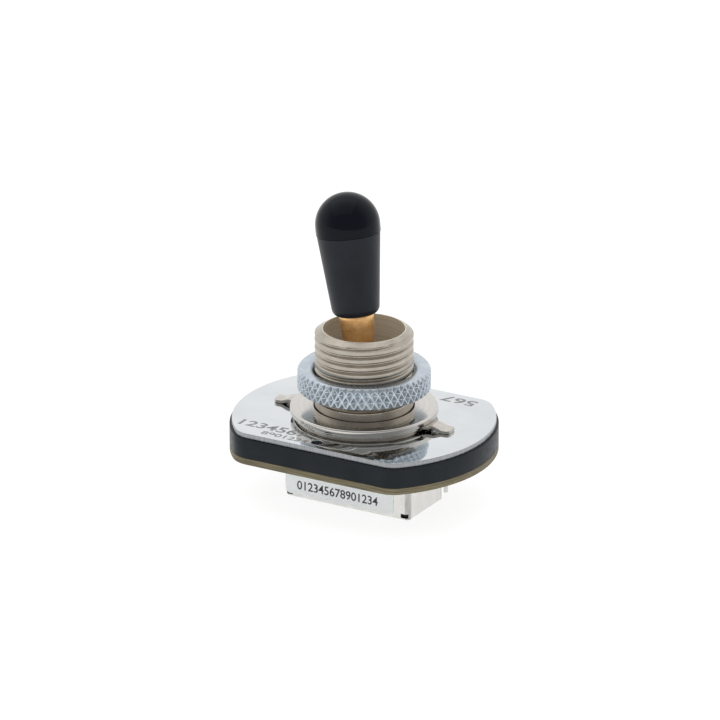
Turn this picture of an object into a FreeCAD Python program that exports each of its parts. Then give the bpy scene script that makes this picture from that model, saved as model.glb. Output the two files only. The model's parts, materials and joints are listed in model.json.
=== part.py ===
"""Guitar pickup selector switch: a toggle lever that tilts three ways along the plate and
between two banks across it. The origin lies on the bushing's axis, at the bottom face of the
sheet-metal can that the switch stands on. X runs along the plate, -Y is the side with the
label, Z points up through the bushing. All sizes are in millimetres."""
import FreeCAD, Part
import math
import os

V = FreeCAD.Vector

# Clearances
fit_gap = 0.03          # pieces that are pressed, staked or laid into one another
run_gap = 0.04          # pieces that turn or slide in one another
swing_gap = 0.25        # open space kept round the swinging stem
contact_gap = 0.03      # between a wiper's crown and its pads

# Shield can, folded from tinned sheet
can_length = 17.3
can_width = 8.5
can_height = 6.6
can_sheet = 0.3
can_corner = 0.35
can_seam = 0.1
seam_inset = 0.45
notch_length = 1.1
notch_height = 0.55
notch_inset = 0.2
notch_level = 0.3
tab_width = 1.2
tab_rise = 1.1
tab_inset = 2.45

# Label on the front of the can, with the bare margins round it
label_left_gap = 0.1
label_right_gap = 2.1
label_edge_gap = 0.45
label_sheet = 0.08
label_corner = 0.6

# Circuit board, moulded body and top plate share one outline: a disc with two flats
plate_radius = 16.05
plate_half_width = 12.1
plate_corner = 3.0
plate_thick = 0.65
body_overhang = 0.28    # of the body and the board past the plate
body_thick = 2.5
board_thick = 0.8
peg_radius = 0.66
peg_x = 0.6
peg_inset = 1.8         # from the flat to the peg's axis
peg_rise = 0.4

# Threaded bushing: facets run between one helix on the thread's crests and one on its roots
thread_radius = 6.0
thread_pitch = 1.0
thread_depth = 0.5
thread_sides = 24
thread_relief = 1.0     # plain length between the washers and the thread
bushing_top = 22.0
mouth_radius = 4.965
rim_land = 0.14
rim_slope = 0.53
mouth_depth = 5.6
inner_radius = 4.15
flange_radius = 7.6
flange_thick = 0.3
lip_radius = 6.6
lip_thick = 0.55

# Washers and nut
lug_ring_radius = 8.6
lug_sheet = 0.4
lug_reach = 12.3
lug_width = 2.0
lug_root_width = 2.9
lug_start = 8.2
lug_crest = 9.6
lug_crest_rise = 0.08
lug_foot = 11.1
lug_turn = 2.75
washer_radius = 9.01
washer_thick = 0.85
washer_chamfer = 0.2
washer_hole_gap = 0.12
nut_radius = 8.09
nut_bottom = 14.3
nut_height = 2.75
nut_face_radius = 7.72
nut_sink_radius = 6.6   # of the countersink at the nut's top
knurl_count = 51        # diamonds round the nut
knurl_height = 1.74     # of one diamond
knurl_half_rows = 3     # half diamonds up the nut
knurl_depth = 0.3

# Pivot and lever
pivot_level = 13.4
select_step = 8.6       # degrees between neighbouring positions along X
bank_half_angle = 4.0   # degrees each side of upright along Y
rocker_radius = 3.9
rocker_sides = 8
rocker_half_height = 1.15
rocker_slot_reach = 2.1
trunnion_radius = 0.85
trunnion_reach = 5.05
cross_pin_radius = 0.6
cross_pin_reach = 3.6
rod_radius = 1.75
rod_low = 1.5
shoulder_radius = 2.17
shoulder_land = 0.5
cone_length = 1.5
stem_radius = 1.3
stem_end_gap = 0.9      # from the stem's end to the centre of the plunger's round nose
stud_radius = 1.45
stud_length = 7.44

# Lever tip, a black moulded knob; its stations are distances from the pivot
tip_start = 10.1
tip_seam = 20.08
tip_dome_centre = 21.16
tip_bottom_radius = 2.845
tip_seam_radius = 3.86
tip_dome_radius = 3.96
tip_dome_bands = 7
tip_bottom_chamfer = 0.4

# Detent
plunger_radius = 0.8
plunger_nose_level = 2.2
plunger_length = 2.6
plunger_travel = 0.25
ridge_gap = 0.06
hollow_slope = 45.0     # degrees between a hollow's side and its axis
spring_length = 4.0
spring_wire = 0.13
spring_turns = 3
spring_turn_sides = 10
detent_end_gap = 0.65
detent_side_gap = 0.25

# Contact carriages
select_slider_thick = 0.75
select_slider_length = 9.0
select_slider_width = 6.4
select_slider_level = 8.1
select_pocket_top = 8.9
bank_slider_thick = 1.0
bank_slider_length = 10.0
bank_slider_width = 4.6
bank_slider_level = 4.65
frame_clear = 0.1
wiper_sheet = 0.15
wiper_width = 1.0
wiper_base = 1.1
wiper_reach = 1.3
wiper_slit = 0.5
pad_thick = 0.05
pad_length = 0.55
pad_width = 1.2
select_wiper_x = 2.2
select_wiper_y = 2.2
bank_wiper_x = 4.1

# Pads for the guitar's wires, and board pins
wire_pad_gap = 1.7      # from the can's end to the middle of the pads
wire_pad_pitch = 2.54
wire_pad_count = 5
wire_pad_length = 1.8
wire_pad_width = 1.3
pin_width = 0.42
pin_y = 3.2
pin_drop = 2.2
pin_rise = 1.2

# Levels and sizes that follow
can_inside_length = can_length - 2 * can_sheet
can_inside_width = can_width - 2 * can_sheet
tab_place = can_length / 2 - tab_inset
label_length = can_length - label_left_gap - label_right_gap
label_height = can_height - 2 * label_edge_gap
label_offset = (label_left_gap - label_right_gap) / 2
peg_y = plate_half_width - peg_inset
wire_pad_x = can_length / 2 + wire_pad_gap
pin_x = (wire_pad_x + plate_radius) / 2
pin_hole = pin_width + 2 * fit_gap
board_bottom = can_height
board_top = board_bottom + board_thick
body_top = board_top + body_thick
plate_top = body_top + plate_thick
flange_top = plate_top + flange_thick
lug_top = flange_top + lug_sheet
lip_bottom = body_top - lip_thick
recess_floor = lip_bottom - fit_gap
slot_half_width = trunnion_radius + run_gap
slot_radius = trunnion_reach + 2 * run_gap
thread_start = lug_top + washer_thick + thread_relief
rod_bore = stud_radius + fit_gap
tilt_x = math.radians(select_step)
tilt_y = math.radians(bank_half_angle)
slope_x = math.tan(tilt_x)
slope_y = math.tan(tilt_y) / math.cos(tilt_x)
section_x = stem_radius * math.sqrt(1 + slope_x ** 2)
section_y = stem_radius * math.sqrt(1 + slope_y ** 2)
plunger_bore = plunger_radius + run_gap
plunger_tip_centre = pivot_level - plunger_nose_level
plunger_tail = plunger_tip_centre - plunger_length
stem_reach = plunger_tip_centre - stem_end_gap
detent_top = plunger_nose_level - plunger_radius - ridge_gap
pivot = V(0, 0, pivot_level)
up = V(0, 0, 1)


def save(shape, node):
    shape.exportStep("parts/" + node + ".step")


def edges_from(start, steps):
    """Edges from a start point: a step is an end point, or a pair (point on the arc, end)."""
    edges = []
    here = V(*start)
    for step in steps:
        if isinstance(step[0], tuple):
            middle = V(*step[0])
            there = V(*step[1])
            edges.append(Part.Arc(here, middle, there).toShape())
        else:
            there = V(*step)
            edges.append(Part.LineSegment(here, there).toShape())
        here = there
    return edges


def face_from(start, steps):
    return Part.Face(Part.Wire(edges_from(start, steps)))


def turned(start, steps):
    """A solid of revolution about Z from a profile of (radius, level) points."""
    def lift(point):
        return (point[0], 0, point[1])
    lifted = []
    for step in steps:
        if isinstance(step[0], tuple):
            lifted.append((lift(step[0]), lift(step[1])))
        else:
            lifted.append(lift(step))
    face = face_from(lift(start), lifted + [lift(start)])
    return face.revolve(V(0, 0, 0), up, 360)


def disc(radius, low, high, x=0, y=0):
    return Part.makeCylinder(radius, high - low, V(x, y, low))


def block(length, width, low, high, x=0, y=0):
    return Part.makeBox(length, width, high - low, V(x - length / 2, y - width / 2, low))


def rounded_block(length, width, corner, low, high, x=0, y=0):
    """A block whose four upright edges are rounded."""
    a = length / 2
    b = width / 2
    c = corner
    d = corner * (1 - math.sqrt(0.5))
    face = face_from(
        (x - a + c, y - b, low),
        [(x + a - c, y - b, low),
         ((x + a - d, y - b + d, low), (x + a, y - b + c, low)),
         (x + a, y + b - c, low),
         ((x + a - d, y + b - d, low), (x + a - c, y + b, low)),
         (x - a + c, y + b, low),
         ((x - a + d, y + b - d, low), (x - a, y + b - c, low)),
         (x - a, y - b + c, low),
         ((x - a + d, y - b + d, low), (x - a + c, y - b, low))])
    return face.extrude(V(0, 0, high - low))


def flatted_disc(grow, low, high):
    """The common outline: a disc with two flats and rounded corners, grown by a margin."""
    radius = plate_radius + grow
    half = plate_half_width + grow
    corner = plate_corner + grow
    cx = math.sqrt((radius - corner) ** 2 - (half - corner) ** 2)
    stretch = radius / (radius - corner)
    tx = cx * stretch
    ty = (half - corner) * stretch
    turn = (math.pi / 2 + math.atan2(half - corner, cx)) / 2
    mx = cx + corner * math.cos(turn)
    my = half - corner + corner * math.sin(turn)
    face = face_from(
        (-cx, -half, low),
        [(cx, -half, low),
         ((mx, -my, low), (tx, -ty, low)),
         ((radius, 0, low), (tx, ty, low)),
         ((mx, my, low), (cx, half, low)),
         (-cx, half, low),
         ((-mx, my, low), (-tx, ty, low)),
         ((-radius, 0, low), (-tx, -ty, low)),
         ((-mx, -my, low), (-cx, -half, low))])
    return face.extrude(V(0, 0, high - low))


def tilt_with_rocker(shape):
    """Sets a piece made about the origin into the rocker's resting tilt."""
    shape.rotate(V(0, 0, 0), V(0, 1, 0), -select_step)
    shape.translate(pivot)
    return shape


def tilt_with_lever(shape):
    """Sets a piece made along Z about the origin into the lever's resting tilt."""
    shape.rotate(V(0, 0, 0), V(1, 0, 0), -bank_half_angle)
    return tilt_with_rocker(shape)


def corners(x, y):
    return [(x, y), (-x, y), (-x, -y), (x, -y)]


def tab_places():
    return corners(tab_place, can_width / 2 - can_sheet / 2)


# Can, label and the pieces on the board

def shield_can():
    shell = rounded_block(can_length, can_width, can_corner, 0, can_height)
    foot_edges = [e for e in shell.Edges if e.BoundBox.ZMax < can_sheet / 2]
    shell = shell.makeChamfer(can_sheet / 2, foot_edges)
    shell = shell.cut(block(can_inside_length, can_inside_width, can_sheet, can_height))
    end_x = can_length / 2 - can_sheet / 2
    notch_x = can_length / 2 - can_corner - notch_inset - notch_length / 2
    notch_base = can_sheet + notch_level - notch_height / 2
    for x, y in corners(end_x, can_width / 2 - seam_inset):
        seam = block(2 * can_sheet, can_seam, can_sheet, can_height, x, y)
        shell = shell.cut(seam)
    for x, y in corners(notch_x, can_width / 2):
        notch = block(notch_length, 2 * can_sheet, notch_base, notch_base + notch_height, x, y)
        shell = shell.cut(notch)
    for x, y in tab_places():
        shell = shell.fuse(block(tab_width, can_sheet, can_height, can_height + tab_rise, x, y))
    return shell.removeSplitter()


def can_label():
    face_y = -can_width / 2 - label_sheet / 2
    middle = can_height / 2
    sheet = rounded_block(label_length, label_height, label_corner,
                          -label_sheet / 2, label_sheet / 2)
    sheet.rotate(V(0, 0, 0), V(1, 0, 0), 90)
    sheet.translate(V(label_offset, face_y, middle))
    return sheet


def stem_opening(depth_from, depth_to):
    """Half length and half width of the hole that lets the stem swing between two levels."""
    arm = pivot_level - min(depth_from, depth_to)
    return arm * slope_x + section_x + swing_gap, arm * slope_y + section_y + swing_gap


def circuit_board():
    board = flatted_disc(body_overhang, board_bottom, board_top)
    half_x, half_y = stem_opening(board_bottom, board_top)
    board = board.cut(block(2 * half_x, 2 * half_y, board_bottom, board_top))
    holes = [block(pin_hole, pin_hole, board_bottom, board_top, x, y)
             for x, y in corners(pin_x, pin_y)]
    holes += [block(tab_width + 2 * fit_gap, can_sheet + 2 * fit_gap, board_bottom, board_top,
                    x, y) for x, y in tab_places()]
    return board.cut(Part.makeCompound(holes))


def contact_pads():
    pads = []
    step = (pivot_level - select_middle()) * slope_x
    crown_x = select_wiper_x + wiper_base + wiper_reach / 2
    for side in (-1, 1):
        for k in (-1, 0, 1):
            x = side * crown_x + k * step
            pads.append(block(pad_length, pad_width, board_top, board_top + pad_thick,
                              x, -select_wiper_y))
            pads.append(block(pad_length, pad_width, board_top, board_top + pad_thick,
                              x, select_wiper_y))
    shift = (pivot_level - bank_middle()) * slope_y
    crown_y = wiper_reach / 2
    for side in (-1, 1):
        for k in (-1, 1):
            pads.append(block(2 * pad_width, pad_length, board_bottom - pad_thick, board_bottom,
                              side * bank_wiper_x, crown_y + k * shift))
    return Part.makeCompound(pads)


def wire_pads():
    pads = []
    for side in (-1, 1):
        for i in range(wire_pad_count):
            y = (i - (wire_pad_count - 1) / 2) * wire_pad_pitch
            pads.append(block(wire_pad_length, wire_pad_width, board_bottom - pad_thick,
                              board_bottom, side * wire_pad_x, y))
    return Part.makeCompound(pads)


def board_pins():
    low = board_bottom - pin_drop
    high = board_top + pin_rise
    return Part.makeCompound([block(pin_width, pin_width, low, high, x, y)
                              for x, y in corners(pin_x, pin_y)])


# Body and plate

def select_middle():
    return select_slider_level + select_slider_thick / 2


def bank_middle():
    return bank_slider_level + bank_slider_thick / 2


def select_shift():
    return (pivot_level - select_middle()) * slope_x


def bank_shift():
    return (pivot_level - bank_middle()) * slope_y


def switch_body():
    body = flatted_disc(body_overhang, board_top, body_top)
    body = body.cut(disc(lip_radius + fit_gap, recess_floor, body_top))
    half_x, half_y = stem_opening(board_top, body_top)
    body = body.cut(block(2 * half_x, 2 * half_y, board_top, recess_floor))
    pocket_length = select_slider_length + 2 * select_shift() + 2 * swing_gap
    body = body.cut(block(pocket_length, select_slider_width + 2 * run_gap,
                          board_top, select_pocket_top))
    body = body.cut(Part.makeCompound(
        [block(pin_hole, pin_hole, board_top, board_top + pin_rise + fit_gap, x, y)
         for x, y in corners(pin_x, pin_y)]))
    tab_end = can_height + tab_rise - board_top + fit_gap
    body = body.cut(Part.makeCompound(
        [block(tab_width + 2 * fit_gap, can_sheet + 2 * fit_gap, board_top, board_top + tab_end,
               x, y) for x, y in tab_places()]))
    pegs = [disc(peg_radius, body_top, body_top + peg_rise, side * peg_x, side * peg_y)
            for side in (-1, 1)]
    return body.fuse(pegs).removeSplitter()


def top_plate():
    plate = flatted_disc(0, body_top, plate_top)
    plate = plate.cut(disc(thread_radius + fit_gap, body_top, plate_top))
    holes = [disc(peg_radius + fit_gap, body_top, plate_top, side * peg_x, side * peg_y)
             for side in (-1, 1)]
    return plate.cut(Part.makeCompound(holes))


# Bushing, washers and nut

def facet(points):
    """A flat face through points, or nothing where they fall together on a line."""
    kept = []
    for point in points:
        if point not in kept:
            kept.append(point)
    if len(kept) < 3:
        return []
    return [Part.Face(Part.makePolygon(kept + kept[:1]))]


def faceted_solid(rings, climb=0):
    """A solid of triangles between rings of points. The cells' diagonals change direction from
    one cell to the next, and run from the near corner where ring and column add up to an even
    number. The last column joins the first one climb rings higher, as in a thread."""
    count = len(rings[0])
    faces = facet(rings[0]) + facet(rings[-1])
    for k in range(len(rings) - 1):
        for j in range(count):
            ahead = (j + 1) % count
            lift = climb if ahead == 0 else 0
            low = rings[min(k + lift, len(rings) - 1)][ahead]
            high = rings[min(k + lift + 1, len(rings) - 1)][ahead]
            cell = [rings[k][j], low, high, rings[k + 1][j]]
            start = (j + k) % 2
            a, b, c, d = cell[start:] + cell[:start]
            faces += facet([a, b, c]) + facet([a, c, d])
    return Part.Solid(Part.Shell(faces))


def thread_point(number, column, base):
    """A point of the thread: even numbers lie on its crests, odd ones on its roots. Past the
    thread's start and the bushing's top all points fall together on the end's outline."""
    level = base + thread_pitch * (column / thread_sides + number / 2)
    level = min(max(level, thread_start), bushing_top)
    radius = thread_radius
    if number % 2 and level > thread_start:
        radius = thread_radius - thread_depth
    rim = bushing_top - rim_slope
    if level > rim:
        land = mouth_radius + rim_land
        radius = min(radius, thread_radius - (level - rim) * (thread_radius - land) / rim_slope)
    turn = 2 * math.pi * column / thread_sides
    return V(radius * math.cos(turn), radius * math.sin(turn), level)


def threaded_bushing():
    mouth_floor = bushing_top - mouth_depth
    bushing = turned((0, lip_bottom),
                     [(lip_radius, lip_bottom), (lip_radius, body_top),
                      (thread_radius, body_top), (thread_radius, plate_top),
                      (flange_radius, plate_top), (flange_radius, flange_top),
                      (thread_radius, flange_top), (thread_radius, thread_start),
                      (0, thread_start)])
    base = thread_pitch * math.floor(thread_start / thread_pitch - 1)
    last = 2 * math.ceil((bushing_top - base) / thread_pitch) + 3
    rings = [[thread_point(number, column, base) for column in range(thread_sides)]
             for number in range(last)]
    bushing = bushing.fuse(faceted_solid(rings, 2))
    bushing = bushing.cut(disc(inner_radius, lip_bottom, mouth_floor))
    bushing = bushing.cut(disc(mouth_radius, mouth_floor, bushing_top))
    for side in (-1, 1):
        slot = block(2 * slot_half_width, slot_radius, lip_bottom, pivot_level,
                     0, side * slot_radius / 2)
        seat = Part.makeCylinder(slot_half_width, slot_radius, pivot, V(0, side, 0))
        bushing = bushing.cut(slot.fuse(seat))
    return bushing


def pivot_keys():
    """Two keys that close the trunnion slots from below, each with a saddle on its top."""
    keys = []
    depth = slot_radius - fit_gap - inner_radius
    for side in (-1, 1):
        key = block(2 * (slot_half_width - fit_gap), depth, lip_bottom,
                    pivot_level - trunnion_radius / 2, 0, side * (inner_radius + depth / 2))
        keys.append(key.cut(Part.makeCylinder(slot_half_width, slot_radius, pivot,
                                              V(0, side, 0))))
    return Part.makeCompound(keys)


def lug_levels(lift):
    """Levels of one face of a lug: at the ring, at its low crest and at its foot."""
    foot = plate_top + fit_gap + lift
    root = flange_top + lift
    crest = root + lug_crest_rise
    return root, crest, foot


def lug():
    """A lug along +X: an S-bent strip, wider at its root and rounded at its tip."""
    middle = (lug_crest + lug_foot) / 2
    first = (lug_crest + middle) / 2
    second = (middle + lug_foot) / 2
    edges = []
    for lift in (0, lug_sheet):
        root, crest, foot = lug_levels(lift)
        half = (crest + foot) / 2
        bow = (crest - foot) / 8
        edges.append([(lug_start, 0, root), (washer_radius + fit_gap, 0, root),
                      (lug_crest, 0, crest), (first, 0, crest - bow), (middle, 0, half),
                      (second, 0, foot + bow), (lug_foot, 0, foot), (lug_reach, 0, foot)])
    outline = [V(*p) for p in edges[0]] + [V(*p) for p in reversed(edges[1])]
    strip = Part.Face(Part.makePolygon(outline + [outline[0]])).extrude(V(0, lug_root_width, 0))
    strip.translate(V(0, -lug_root_width / 2, 0))
    root_half = lug_root_width / 2
    half = lug_width / 2
    tip = lug_reach - half / 2
    plan = face_from(
        (lug_start, -root_half, plate_top),
        [(lug_ring_radius, -root_half, plate_top), (lug_crest, -half, plate_top),
         (tip, -half, plate_top),
         ((lug_reach, 0, plate_top), (tip, half, plate_top)),
         (lug_crest, half, plate_top), (lug_ring_radius, root_half, plate_top),
         (lug_start, root_half, plate_top), (lug_start, -root_half, plate_top)])
    return strip.common(plan.extrude(V(0, 0, flange_top)))


def lug_washer():
    ring = disc(lug_ring_radius, flange_top, lug_top)
    strip = lug()
    for turn in (lug_turn, lug_turn + 180):
        turned_lug = strip.copy()
        turned_lug.rotate(V(0, 0, 0), up, turn)
        ring = ring.fuse(turned_lug)
    return ring.cut(disc(thread_radius + washer_hole_gap, plate_top, lug_top)).removeSplitter()


def flat_washer():
    inner = thread_radius + washer_hole_gap
    high = lug_top + washer_thick
    return turned((inner, lug_top),
                  [(washer_radius, lug_top), (washer_radius, high - washer_chamfer),
                   (washer_radius - washer_chamfer, high), (inner, high)])


def knurled_nut():
    """A ring whose outside is a field of low pyramids between two bevels: every second point of
    the knurl's lattice is a tip, and the others lie at the bottom of its grooves."""
    high = nut_bottom + nut_height
    knurl_low = (nut_bottom + high - knurl_half_rows * knurl_height / 2) / 2
    grooves = nut_radius - knurl_depth
    levels = [nut_bottom]
    levels += [knurl_low + knurl_height / 2 * k for k in range(knurl_half_rows + 1)]
    levels += [high]
    rings = []
    for number, level in enumerate(levels):
        end = min(number, len(levels) - 1 - number)
        ring = []
        for column in range(2 * knurl_count):
            tip = end > 1 and (number + column) % 2 == 1
            radius = nut_radius if tip else grooves if end else nut_face_radius
            turn = math.pi * column / knurl_count - math.pi / 2
            ring.append(V(radius * math.cos(turn), radius * math.sin(turn), level))
        rings.append(ring)
    nut = faceted_solid(rings)
    bore = thread_radius + run_gap
    sink = nut_sink_radius - bore
    nut = nut.cut(Part.makeCone(bore, nut_sink_radius, sink, V(0, 0, high - sink)))
    return nut.cut(disc(bore, nut_bottom, high))


# Rocker, lever and detent

def rocker_ring():
    """A many-sided ring with two trunnions, slotted for the lever's rod and bored for the pin."""
    outline = []
    for i in range(rocker_sides + 1):
        turn = math.pi * (2 * i + 1) / rocker_sides
        outline.append(V(rocker_radius * math.cos(turn), rocker_radius * math.sin(turn),
                         -rocker_half_height))
    ring = Part.Face(Part.makePolygon(outline)).extrude(V(0, 0, 2 * rocker_half_height))
    for side in (-1, 1):
        reach = trunnion_reach - rocker_slot_reach
        ring = ring.fuse(Part.makeCylinder(trunnion_radius, reach,
                                           V(0, side * rocker_slot_reach, 0), V(0, side, 0)))
    ring = ring.cut(block(2 * (rod_radius + run_gap), 2 * rocker_slot_reach,
                          -rocker_half_height, rocker_half_height))
    hole = Part.makeCylinder(cross_pin_radius + run_gap, 2 * rocker_radius,
                             V(-rocker_radius, 0, 0), V(1, 0, 0))
    return tilt_with_rocker(ring.cut(hole))


def cross_pin():
    pin = Part.makeCylinder(cross_pin_radius, 2 * cross_pin_reach,
                            V(-cross_pin_reach, 0, 0), V(1, 0, 0))
    return tilt_with_lever(pin)


def toggle_lever():
    """The turned lever: hollow stem, rod with the cross pin's hole, shoulder and stud."""
    cone_low = tip_start - shoulder_land - cone_length
    stud_top = tip_start + stud_length
    bore_end = plunger_tail - spring_length
    lever = turned((0, -bore_end),
                   [(plunger_bore, -bore_end), (plunger_bore, -stem_reach),
                    (stem_radius, -stem_reach), (stem_radius, -rod_low),
                    (rod_radius, -rod_low), (rod_radius, cone_low),
                    (shoulder_radius, tip_start - shoulder_land),
                    (shoulder_radius, tip_start), (stud_radius, tip_start),
                    (stud_radius, stud_top), (0, stud_top)])
    hole = Part.makeCylinder(cross_pin_radius, 2 * rod_radius, V(-rod_radius, 0, 0),
                             V(1, 0, 0))
    return tilt_with_lever(lever.cut(hole))


def lever_tip():
    """The knob: a cone that widens upwards to a seam, then a dome a little larger."""
    rise = tip_seam - tip_start
    slope = (tip_seam_radius - tip_bottom_radius) / rise
    edge = tip_bottom_radius + slope * tip_bottom_chamfer
    socket_top = tip_start + stud_length + fit_gap
    dome = []
    for i in range(1, tip_dome_bands):
        rise = math.pi / 2 * i / tip_dome_bands
        dome.append((tip_dome_radius * math.cos(rise),
                     tip_dome_centre + tip_dome_radius * math.sin(rise)))
    tip = turned((rod_bore, tip_start),
                 [(tip_bottom_radius - tip_bottom_chamfer, tip_start),
                  (edge, tip_start + tip_bottom_chamfer),
                  (tip_seam_radius, tip_seam), (tip_dome_radius, tip_seam),
                  (tip_dome_radius, tip_dome_centre)] + dome +
                 [(0, tip_dome_centre + tip_dome_radius), (0, socket_top), (rod_bore, socket_top)])
    return tilt_with_lever(tip)


def detent_plunger():
    reach = plunger_radius * math.sqrt(0.5)
    plunger = turned((0, -plunger_tip_centre - plunger_radius),
                     [((reach, -plunger_tip_centre - reach),
                       (plunger_radius, -plunger_tip_centre)),
                      (plunger_radius, -plunger_tail), (0, -plunger_tail)])
    return tilt_with_lever(plunger)


def plunger_spring():
    """A coil spring of square wire between the plunger's tail and the end of the stem's bore."""
    inner = plunger_radius - 2 * spring_wire
    low = -plunger_tail + fit_gap
    rise = spring_length - 2 * spring_wire - 2 * fit_gap
    steps = spring_turns * spring_turn_sides
    sections = []
    for i in range(steps + 1):
        turn = 2 * math.pi * i / spring_turn_sides
        z = low + rise * i / steps
        section = []
        for r, lift in ((inner, 0), (plunger_radius, 0), (plunger_radius, 2 * spring_wire),
                        (inner, 2 * spring_wire), (inner, 0)):
            section.append(V(r * math.cos(turn), r * math.sin(turn), z + lift))
        sections.append(Part.makePolygon(section))
    return tilt_with_lever(Part.makeLoft(sections, True, True))


def detent_plate():
    """A block with a four-sided hollow for each of the six positions of the plunger."""
    plate = block(can_inside_length - 2 * detent_end_gap, can_inside_width - 2 * detent_side_gap,
                  can_sheet, detent_top)
    slope = math.radians(hollow_slope)
    point = plunger_tip_centre + plunger_travel + (plunger_radius + ridge_gap) / math.sin(slope)
    depth = point - plunger_tip_centre
    half = depth * math.tan(slope)
    groove = face_from((0, -half, -point), [(half, -half, depth - point),
                                            (-half, -half, depth - point),
                                            (0, -half, -point)]).extrude(V(0, 2 * half, 0))
    across = groove.copy()
    across.rotate(V(0, 0, 0), up, 90)
    hollow = groove.common(across)
    for i in (-1, 0, 1):
        for j in (-1, 1):
            seat = hollow.copy()
            seat.rotate(V(0, 0, 0), V(1, 0, 0), j * bank_half_angle)
            seat.rotate(V(0, 0, 0), V(0, 1, 0), i * select_step)
            seat.translate(pivot)
            plate = plate.cut(seat)
    return plate


# Contact carriages

def slider_frame():
    """The moulded frame that fills the can and guides the lower carriage across it."""
    top = board_bottom - pad_thick
    floor = bank_slider_level - run_gap
    frame = block(can_inside_length - 2 * frame_clear, can_inside_width - 2 * frame_clear,
                  detent_top, top)
    frame = frame.cut(block(bank_slider_length + 2 * run_gap,
                            bank_slider_width + 2 * bank_shift() + swing_gap, floor, top))
    half_x, half_y = stem_opening(detent_top, floor)
    return frame.cut(block(2 * half_x, 2 * half_y, detent_top, floor))


def wiper(sheet, width, base, reach, rise, slit):
    """A two-finger spring contact along +X with its base at the origin and its crown up."""
    low = [(0, 0), (base, 0), (base + reach / 2, rise - sheet), (base + reach, rise / 2)]
    high = [(x, z + sheet) for x, z in reversed(low)]
    outline = [V(x, 0, z) for x, z in low + high]
    strip = Part.Face(Part.makePolygon(outline + [outline[0]])).extrude(V(0, width, 0))
    strip.translate(V(0, -width / 2, 0))
    return strip.cut(block(reach, slit, 0, rise + sheet, base + reach / 2, 0))


def select_slider():
    high = select_slider_level + select_slider_thick
    slot = 2 * section_x + select_slider_thick * slope_x + 2 * run_gap
    arm = pivot_level - select_slider_level
    slot_length = 2 * (arm * slope_y + section_y + swing_gap)
    slider = block(select_slider_length, select_slider_width, select_slider_level, high)
    slider = slider.cut(block(slot, slot_length, select_slider_level, high))
    slider.translate(V(select_shift(), 0, 0))
    return slider


def select_wipers():
    """Two contacts under the upper carriage, one each side of the slot."""
    rise = select_slider_level - board_top - pad_thick - contact_gap
    wipers = []
    for side in (-1, 1):
        piece = wiper(wiper_sheet, 2 * select_wiper_y + wiper_width, wiper_base, wiper_reach,
                      rise, 2 * select_wiper_y - wiper_width)
        piece.rotate(V(0, 0, 0), V(1, 0, 0), 180)
        if side < 0:
            piece.rotate(V(0, 0, 0), up, 180)
        piece.translate(V(side * select_wiper_x + select_shift(), 0, select_slider_level))
        wipers.append(piece)
    return Part.makeCompound(wipers)


def bank_slider():
    high = bank_slider_level + bank_slider_thick
    slot = 2 * section_y + bank_slider_thick * slope_y + 2 * run_gap
    arm = pivot_level - bank_slider_level
    slot_length = 2 * (arm * slope_x + section_x + swing_gap)
    slider = block(bank_slider_length, bank_slider_width, bank_slider_level, high)
    slider = slider.cut(block(slot_length, slot, bank_slider_level, high))
    slider.translate(V(0, -bank_shift(), 0))
    return slider


def bank_wipers():
    """Two contacts on top of the lower carriage, at its two ends."""
    high = bank_slider_level + bank_slider_thick
    rise = board_bottom - pad_thick - contact_gap - high
    wipers = []
    for side in (-1, 1):
        piece = wiper(wiper_sheet, 1.6 * wiper_width, wiper_base, wiper_reach, rise, wiper_slit)
        piece.rotate(V(0, 0, 0), up, 90)
        piece.translate(V(side * bank_wiper_x, -bank_shift() - wiper_base, high))
        wipers.append(piece)
    return Part.makeCompound(wipers)


os.makedirs("parts", exist_ok=True)
save(shield_can(), "shield_can")
save(can_label(), "can_label")
save(circuit_board(), "circuit_board")
save(contact_pads(), "contact_pads")
save(wire_pads(), "wire_pads")
save(board_pins(), "board_pins")
save(switch_body(), "switch_body")
save(top_plate(), "top_plate")
save(threaded_bushing(), "threaded_bushing")
save(pivot_keys(), "pivot_keys")
save(lug_washer(), "lug_washer")
save(flat_washer(), "flat_washer")
save(knurled_nut(), "knurled_nut")
save(rocker_ring(), "rocker_ring")
save(cross_pin(), "cross_pin")
save(toggle_lever(), "toggle_lever")
save(lever_tip(), "lever_tip")
save(detent_plunger(), "detent_plunger")
save(plunger_spring(), "plunger_spring")
save(detent_plate(), "detent_plate")
save(slider_frame(), "slider_frame")
save(select_slider(), "select_slider")
save(select_wipers(), "select_wipers")
save(bank_slider(), "bank_slider")
save(bank_wipers(), "bank_wipers")
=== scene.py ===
"""Guitar pickup selector switch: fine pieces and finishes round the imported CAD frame."""
import json
import math
import bmesh
import bpy
import numpy as np
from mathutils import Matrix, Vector
from mathutils.geometry import tessellate_polygon


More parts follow.
